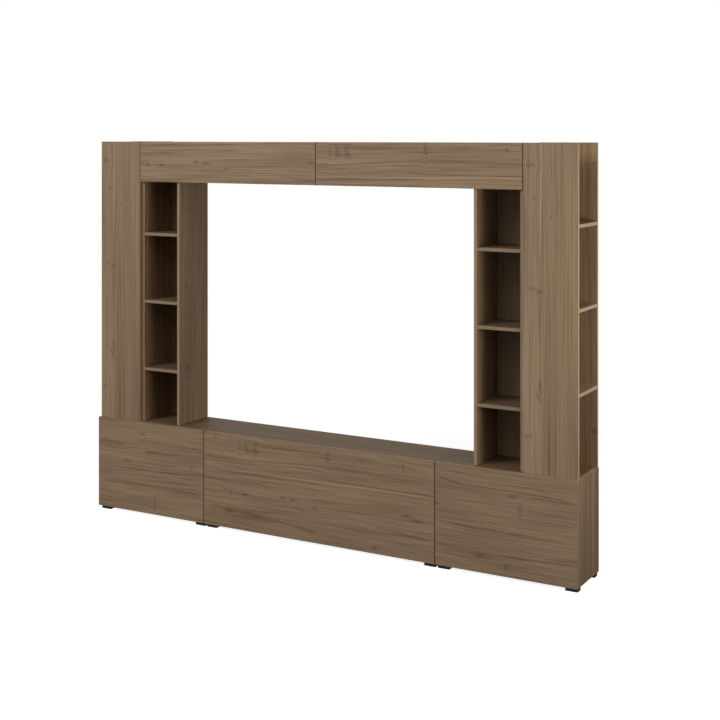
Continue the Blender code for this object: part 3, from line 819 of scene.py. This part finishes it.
def hinge_arm():
    """Pressed steel channel, narrower and lower at its nose, with its two adjusting screws."""
    arm = block("hinge_arm", (-ARM_WIDTH / 2, ARM_START, ARM_UNDERSIDE),
                (ARM_WIDTH / 2, ARM_START + ARM_LENGTH, ARM_TOP))
    for distance in (ARM_NOSE_LENGTH / 2, ARM_NOSE_LENGTH):
        cut_across(arm, ARM_START + distance)
    sink(arm, -1, ARM_SHEET, ARM_TOP - ARM_UNDERSIDE - ARM_SHEET)
    nose = ARM_START + ARM_NOSE_LENGTH * 0.75
    edit(arm, "VERT", lambda point: point.co.y < nose,
         (bpy.ops.transform.resize, {
             "value": (ARM_NOSE_WIDTH / ARM_WIDTH, 1, 1), "center_override": (0, 0, 0)}))
    edit(arm, "VERT", lambda point: point.co.y < nose and point.co.z > (ARM_TOP + ARM_UNDERSIDE) / 2,
         (bpy.ops.transform.translate, {"value": (0, 0, -ARM_NOSE_DROP)}))
    slot_start, slot_end = ARM_SLOT
    cut(arm, block("slot", (-0.0022, slot_start, 0.0), (0.0022, slot_end, 0.02)))
    soften(arm, 0.0005)
    fixing = copied(arm_screw, "fixing_screw", (0, FIXING_SCREW_PLACE, ARM_TOP), (0, 0, 30))
    adjusting = copied(arm_screw, "adjusting_screw", (0, ADJUSTING_SCREW_PLACE, ARM_TOP), (0, 0, 75))
    nose_pin = rod("nose_pin", (-NOSE_PIN_REACH, *NOSE_PIN), (NOSE_PIN_REACH, *NOSE_PIN), 0.0015, 12)
    return kept_together("hinge_arm", [arm, fixing, adjusting, nose_pin])


def hinge_plate():
    """Winged mounting plate with the ridge that the arm clips over, on two screws."""
    end = PLATE_START + PLATE_LENGTH
    middle = PLATE_START + PLATE_LENGTH / 2
    plate = block("hinge_plate", (-ARM_WIDTH / 2, PLATE_START, 0),
                  (ARM_WIDTH / 2, end, PLATE_THICKNESS))
    wings = block("wings", (-WING_SPAN / 2, middle - WING_LENGTH / 2, 0),
                  (WING_SPAN / 2, middle + WING_LENGTH / 2, PLATE_THICKNESS))
    round_corners(wings, Z, 0.005)
    ridge = block("ridge", (-RIDGE_WIDTH / 2, PLATE_START, 0), (RIDGE_WIDTH / 2, end, RIDGE_TOP))
    joined(plate, wings, ridge)
    soften(plate, 0.0004)
    screws = [copied(wing_screw, "wing_screw", (side * WING_SCREW_PLACE, middle, PLATE_THICKNESS),
                     (0, 0, 40 * side)) for side in (-1, 1)]
    return kept_together("hinge_plate", [plate] + screws)


def hinge_links():
    """The two sprung steel links between the arm's nose and the cup, one above the other."""
    links = []
    for reach, rise in LINKS:
        link = block("link", (-LINK_WIDTH / 2, reach, rise),
                     (LINK_WIDTH / 2, LINK_END, rise + LINK_SHEET))
        # It is cut across into twelve even lengths
        for step in range(1, 12):
            cut_across(link, reach + (LINK_END - reach) * step / 12)
        only(link)
        bpy.ops.object.shade_smooth_by_angle(angle=EDGE_ANGLE)
        links.append(link)
    return kept_together("hinge_links", links)


def latch_housing():
    """Moulded push-latch housing: a barrel on a screwed foot, bored for its plunger."""
    start, end = LATCH_SETBACK, LATCH_LENGTH
    barrel = rod("latch_housing", (0, start, LATCH_AXIS), (0, end, LATCH_AXIS), LATCH_RADIUS, 40)
    web = block("web", (-LATCH_RADIUS, start, 0), (LATCH_RADIUS, end, LATCH_AXIS))
    flange = block("flange", (-LATCH_FOOT / 2, start, 0), (LATCH_FOOT / 2, end, LATCH_FOOT_THICKNESS))
    round_corners(flange, Z, 0.004)
    joined(barrel, web, flange)
    bore_end = PLUNGER_END + 0.0005
    cut(barrel, rod("bore", (0, -0.01, LATCH_AXIS), (0, bore_end, LATCH_AXIS), LATCH_BORE, 32))
    soften(barrel, 0.0004)
    # One screw stands on each side of the barrel, and they are staggered along it
    screws = [copied(latch_screw, "latch_screw",
                     (side * LATCH_SCREW_PLACE, LATCH_LENGTH / 2 + side * LATCH_SCREW_STAGGER,
                      LATCH_FOOT_THICKNESS), (0, 0, 35 * side)) for side in (-1, 1)]
    return kept_together("latch_housing", [barrel] + screws)


def latch_plunger():
    """Turned acetal plunger with a wider tip."""
    tip = LATCH_BORE - 0.0004
    stem = rod("latch_plunger", (0, PLUNGER_NOSE + 0.001, LATCH_AXIS), (0, PLUNGER_END, LATCH_AXIS),
               tip * 0.78, 24)
    head = rod("head", (0, PLUNGER_NOSE, LATCH_AXIS), (0, PLUNGER_NOSE + 0.003, LATCH_AXIS), tip, 24)
    return soften(joined(stem, head), 0.0004)


def cam_lock():
    """Eccentric cam sunk flush into a board, with a rim and a cross recess looking up."""
    cam = rod("cam_lock", (0, 0, -CAM_DEPTH), (0, 0, -CAM_CLEARANCE), CAM_RADIUS, 28)
    sink(cam, 1, 0.0014, 0.0006)
    cross_recess(cam, 0.0036, 0.0008, -0.0040, 0.001)
    return soften(cam, 0.0002, 1)


def foot():
    """Moulded foot: eased corners, a rim to stand on and a hollow for its screw in the underside."""
    pad = block("foot", (-FOOT.x / 2, -FOOT.y / 2, 0), (FOOT.x / 2, FOOT.y / 2, FOOT.z))
    round_corners(pad, Z, 0.003, 3)
    sink(pad, -1, 0.002, 0.0015)
    cut(pad, rod("screw_hollow", (0, 0, -0.01), (0, 0, 0.006), 0.005, 24))
    return soften(pad, 0.0005)


# --- the boards and fittings in their places


def place_board(node_name, low, high, body, bores):
    """A board with its edges eased, bored for the fittings it carries."""
    board = block(node_name + "_board", low, high)
    for first, last, radius in bores:
        cut(board, rod("bore", first, last, radius, 48))
    soften(board, EDGE_ROUND)
    dress_board(board, node_name, low, high)
    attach(board, body)
    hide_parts(node_name)


def place(master, name, body, material, move, stands_for, hanging=False):
    """A copy of a fitting in its place on the object."""
    piece = finish(copied(master, name, move, hanging=hanging), material)
    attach(piece, body)
    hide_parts(stands_for)
    return piece


def place_batten(name, low, high):
    """A batten with its edges eased, glued to the carcass."""
    batten = finish(soften(block(name, low, high), 0.0008), batten_decor)
    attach(batten, "carcass")


ear_screw = screw_head("ear_screw", 0.0036)
arm_screw = screw_head("arm_screw", 0.0030)
wing_screw = screw_head("wing_screw", 0.0042)
latch_screw = screw_head("latch_screw", 0.0030)
cup_master, arm_master = hinge_cup(), hinge_arm()
plate_master, links_master = hinge_plate(), hinge_links()
latch_master, plunger_master = latch_housing(), latch_plunger()
foot_master, cam_master = foot(), cam_lock()

steel = nickel_plated_steel()
# Moulded polypropylene feet: near black and scuffed, dulled by the mould's grain 0.4 mm across
foot_plastic = even_finish("black_polypropylene", "#161617", "#242425", mottling=(60.0, 4.0),
                           shine=(0.48, 0.62), relief=(2500.0, 2.0), bump=(0.3, 0.00008), IOR=1.49)
# Bare die-cast zinc: dull blue-grey, and pitted every millimetre or so
zinc = even_finish("zinc_die_casting", "#7C7F82", "#A2A4A6", mottling=(900.0, 4.0),
                   shine=(0.42, 0.58), relief=(900.0, 4.0), bump=(0.3, 0.0001), Metallic=1.0)
# Moulded ABS and acetal: flow marks 5 mm and more across, and the mould's grain 0.3 mm across
moulded = {"mottling": (180.0, 2.0), "relief": (3300.0, 1.0), "bump": (0.2, 0.00005)}
housing_plastic = even_finish("grey_moulded_abs", "#7E7F7D", "#8B8C8A", shine=(0.42, 0.54), **moulded)
plunger_plastic = even_finish("dark_grey_acetal", "#4B4C4C", "#575858", shine=(0.30, 0.42), **moulded)

cad_pieces = {piece["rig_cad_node"]: piece for piece in bpy.data.objects if piece.get("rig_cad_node")}

for node_name in NODE_NAMES:
    low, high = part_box(node_name)
    cabinet = "_".join(node_name.split("_")[:2])
    part_name = node_name.removeprefix(cabinet + "_")
    is_upper = cabinet in UPPER_CABINETS
    hinge_board, latch_board = ("top", "bottom") if is_upper else ("bottom", "top")
    if "plunger" in node_name:
        continue
    if "tower" in node_name or part_name in ("left_side", "right_side", "back"):
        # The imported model's shape is right
        dress_board(cad_pieces[node_name], node_name, low, high)
        continue
    if part_name in ("bottom", "top"):
        # The cams are on the face that is out of sight: inside, or under a low cabinet
        low, high = board_between(cabinet, part_name)
        looks_down = part_name == "top" or not is_upper
        face_z, inward = (low.z, 1) if looks_down else (high.z, -1)
        cams = [(x, y) for x in (low.x + CAM_END_DISTANCE, high.x - CAM_END_DISTANCE)
                for y in (low.y + CAM_EDGE_DISTANCE, high.y - CAM_EDGE_DISTANCE)]
        place_board(node_name, low, high, "carcass", [
            ((x, y, face_z - inward * 0.01), (x, y, face_z + inward * (CAM_DEPTH + CAM_CLEARANCE)),
             CAM_RADIUS + CAM_CLEARANCE) for x, y in cams])
        for count, (x, y) in enumerate(cams, 1):
            place(cam_master, f"{node_name}_cam_{count}", "carcass", zinc, (x, y, face_z),
                  node_name, hanging=looks_down)
        continue

    # A front or flap hangs on its cabinet, so its fittings are set out from its own two ends
    rear = low.y + BOARD
    hinge_low, hinge_high = board_between(cabinet, hinge_board)
    latch_low, latch_high = board_between(cabinet, latch_board)
    hinge_face = hinge_low.z if is_upper else hinge_high.z
    latch_face = latch_high.z if is_upper else latch_low.z
    cup_height = hinge_face - CUP_RISE if is_upper else hinge_face + CUP_RISE
    hinge_places = spaced(low.x, high.x)
    place_board(node_name, low, Vector((high.x, rear, high.z)), node_name, [
        ((x, rear - CUP_DEPTH - CUP_BORE_CLEARANCE, cup_height), (x, rear + 0.01, cup_height),
         CUP_BORE_RADIUS) for x in hinge_places])
    hinge_carrier = cabinet + "_" + hinge_board
    for count, x in enumerate(hinge_places, 1):
        spot = Vector((x, rear, hinge_face))
        for master, part, body, carrier in (
                (cup_master, "cup", node_name, node_name),
                (arm_master, "arm", "carcass", hinge_carrier),
                (plate_master, "plate", "carcass", hinge_carrier)):
            place(master, f"{node_name}_hinge_{part}_{count}", body, steel, spot, carrier, is_upper)
        links = copied(links_master, f"{node_name}_hinge_links_{count}", spot, hanging=is_upper)
        finish(links, steel)
        start, end = [spot + Vector((0, y, -z if is_upper else z))
                      for y, z in (LINKS_LEAVE, LINKS_REACH)]
        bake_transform(links)
    latch_carrier = cabinet + "_" + latch_board
    for count, x in enumerate(centred(low.x, high.x), 1):
        spot = (x, latch_low.y, latch_face)
        housing = place(latch_master, f"{node_name}_latch_{count}", "carcass", housing_plastic, spot,
                        latch_carrier, not is_upper)
        plunger = place(plunger_master, f"{node_name}_latch_plunger_{count}", cabinet + "_plungers",
                        plunger_plastic, spot, f"{node_name}_plunger_{count}", not is_upper)

for cabinet in LOW_CABINETS:
    left_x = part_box(cabinet + "_left_side")[0].x + FOOT_SIDE_INSET + FOOT.x / 2
    right_side_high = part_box(cabinet + "_right_side")[1]
    right_x = right_side_high.x - FOOT_SIDE_INSET - FOOT.x / 2
    front_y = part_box(cabinet + "_front")[0].y + FOOT_FRONT_SETBACK + FOOT.y / 2
    rear_y = right_side_high.y - FOOT_REAR_SETBACK - FOOT.y / 2
    for end, y in (("front", front_y), ("rear", rear_y)):
        for side, x in (("left", left_x), ("right", right_x)):
            place(foot_master, f"{cabinet}_foot_{end}_{side}", "carcass", foot_plastic, (x, y, 0),
                  cabinet + "_bottom")

batten_decor = walnut_decor("walnut_decor_battens", *cad_box, Z, Y, Vector((3.1, 5.2, 0.4)))
for tower, side in (("left_tower", -1), ("right_tower", 1)):
    shelves = [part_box(f"{tower}_outer_shelf_{count}") for count in (1, 2, 3)]
    panel_low, panel_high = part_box(tower + "_front_panel")
    partition = max(abs(corner.x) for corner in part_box(tower + "_partition")) + SEAT
    near, far = sorted((side * partition, side * (partition + BATTEN)))
    front = panel_high.y + SEAT
    floors = [panel_low.z] + [shelf_high.z + SEAT for _, shelf_high in shelves]
    ceilings = [shelf_low.z - SEAT for shelf_low, _ in shelves] + [BATTEN_TOP]
    for count, (bottom, top) in enumerate(zip(floors, ceilings), 1):
        place_batten(f"{tower}_batten_{count}", (near, front, bottom), (far, front + BATTEN, top))
    back_low, back_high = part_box(tower + "_inner_back")
    # It laps onto the inner side's top as well
    side_middle = sum(corner.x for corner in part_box(tower + "_inner_side")) / 2
    place_batten(tower + "_rear_batten",
                 (min(back_low.x, side_middle), back_low.y + SEAT, back_high.z + SEAT),
                 (max(back_high.x, side_middle), back_low.y + BATTEN, back_high.z + BATTEN))

for master in (ear_screw, arm_screw, wing_screw, latch_screw, cup_master, arm_master, plate_master,
               links_master, latch_master, plunger_master, foot_master, cam_master):
    bpy.data.objects.remove(master, do_unlink=True)


# --- camera, light and stage

# The camera looks level, so that uprights stay upright, and its lens shift brings the object in
camera_data = bpy.data.cameras.new("camera")
camera_data.lens = 65.56
camera_data.sensor_width = 36.0
camera_data.shift_y = -0.31106
camera = bpy.data.objects.new("camera", camera_data)
bpy.context.scene.collection.objects.link(camera)
camera.location = (3.3735, -5.6786, 2.0298)
camera.rotation_euler = (math.radians(90), 0, math.radians(29.33))
bpy.context.scene.camera = camera


def softbox(name, location, power, width=2.0, height=2.0, glare=True):
    """An area lamp that looks at the middle of the object, and may leave no glare on what it grazes."""
    lamp_data = bpy.data.lights.new(name, "AREA")
    lamp_data.shape = "RECTANGLE"
    lamp_data.size, lamp_data.size_y = width, height
    lamp_data.energy = power
    lamp = bpy.data.objects.new(name, lamp_data)
    bpy.context.scene.collection.objects.link(lamp)
    lamp.location = location
    lamp.rotation_euler = (Vector((0, 0, 1)) - lamp.location).to_track_quat("-Z", "Y").to_euler()
    lamp.visible_glossy = glare


# Place, power in watts, and width and height where it isn't 2 m square
softbox("left_key", (-4.0, -7.0, 4.2), 405)
softbox("right_fill", (8.0, -2.5, 1.5), 75)
softbox("top_right", (1.5, -2.0, 5.5), 28)
softbox("top_front", (0.0, -4.0, 4.5), 24)
softbox("front_fill", (0.0, -6.0, 2.0), 17)
softbox("rear_low", (-1.6, 6.5, 0.3), 240, 3.0, 0.3, glare=False)
softbox("side_near", (2.9, -0.5, 1.2), 19, 0.8, 0.8)
softbox("side_strip", (2.6, 0.25, 1.6), 7.4, 0.5, 1.0)
softbox("right_near", (2.4, -1.2, 1.4), 4.3, 1.0, 1.0)

world = bpy.data.worlds.new("studio")
bpy.context.scene.world = world
world.use_nodes = True
# The sky is white to the eye and in reflections, and throws no light of its own
sky_tree = world.node_tree
rays = node(sky_tree, "LightPath", out=None)
seen = node(sky_tree, "Math", {0: rays["Is Camera Ray"], 1: rays["Is Glossy Ray"]},
            operation="MAXIMUM")
seen = node(sky_tree, "Math", {0: seen, 1: rays["Is Transmission Ray"]}, operation="MAXIMUM")
fill(sky_tree, sky_tree.nodes["Background"], {"Strength": seen, "Color": WHITE})

bpy.ops.object.select_all(action="DESELECT")
bpy.ops.mesh.primitive_plane_add(size=40.0, location=(0.0, 0.0, 0.0))
floor = bpy.context.object
floor.name = "floor"
floor_material, floor_tree, floor_shader = new_material("white_studio_floor")
rays = node(floor_tree, "LightPath", out=None)
# Only the first three metres round the object need their shadow, and the floor is plain white beyond
spot = node(floor_tree, "TexCoord", out="Object")
distance = node(floor_tree, "VectorMath", {0: spot}, operation="LENGTH", out="Value")
beyond = node(floor_tree, "MapRange", {0: distance, 1: 1.8, 2: 3.2}, **SMOOTH)
whiteness = node(floor_tree, "MapRange", {0: beyond, 3: 0.86, 4: 1.0})
# It is white to the eye and mid grey to the light that it throws back up
seen = node(floor_tree, "Mix", {0: beyond, 6: linear("#C0C0C0"), 7: linear("#000000")}, **COLOUR)
tone = node(floor_tree, "Mix", {0: rays["Is Camera Ray"], 6: linear("#444444"), 7: seen}, **COLOUR)
fill(floor_tree, floor_shader, {"Base Color": tone, "Roughness": 0.9, "Specular IOR Level": 0.0})
matt = floor_shader.outputs[0]
glow = node(floor_tree, "Emission", {"Color": WHITE, "Strength": whiteness})
lit = node(floor_tree, "AddShader", {0: matt, 1: glow})
surface = node(floor_tree, "MixShader", {0: rays["Is Camera Ray"], 1: matt, 2: lit})
fill(floor_tree, floor_tree.nodes["Material Output"], {"Surface": surface})
finish(floor, floor_material)

bpy.context.scene.view_settings.view_transform = "Standard"
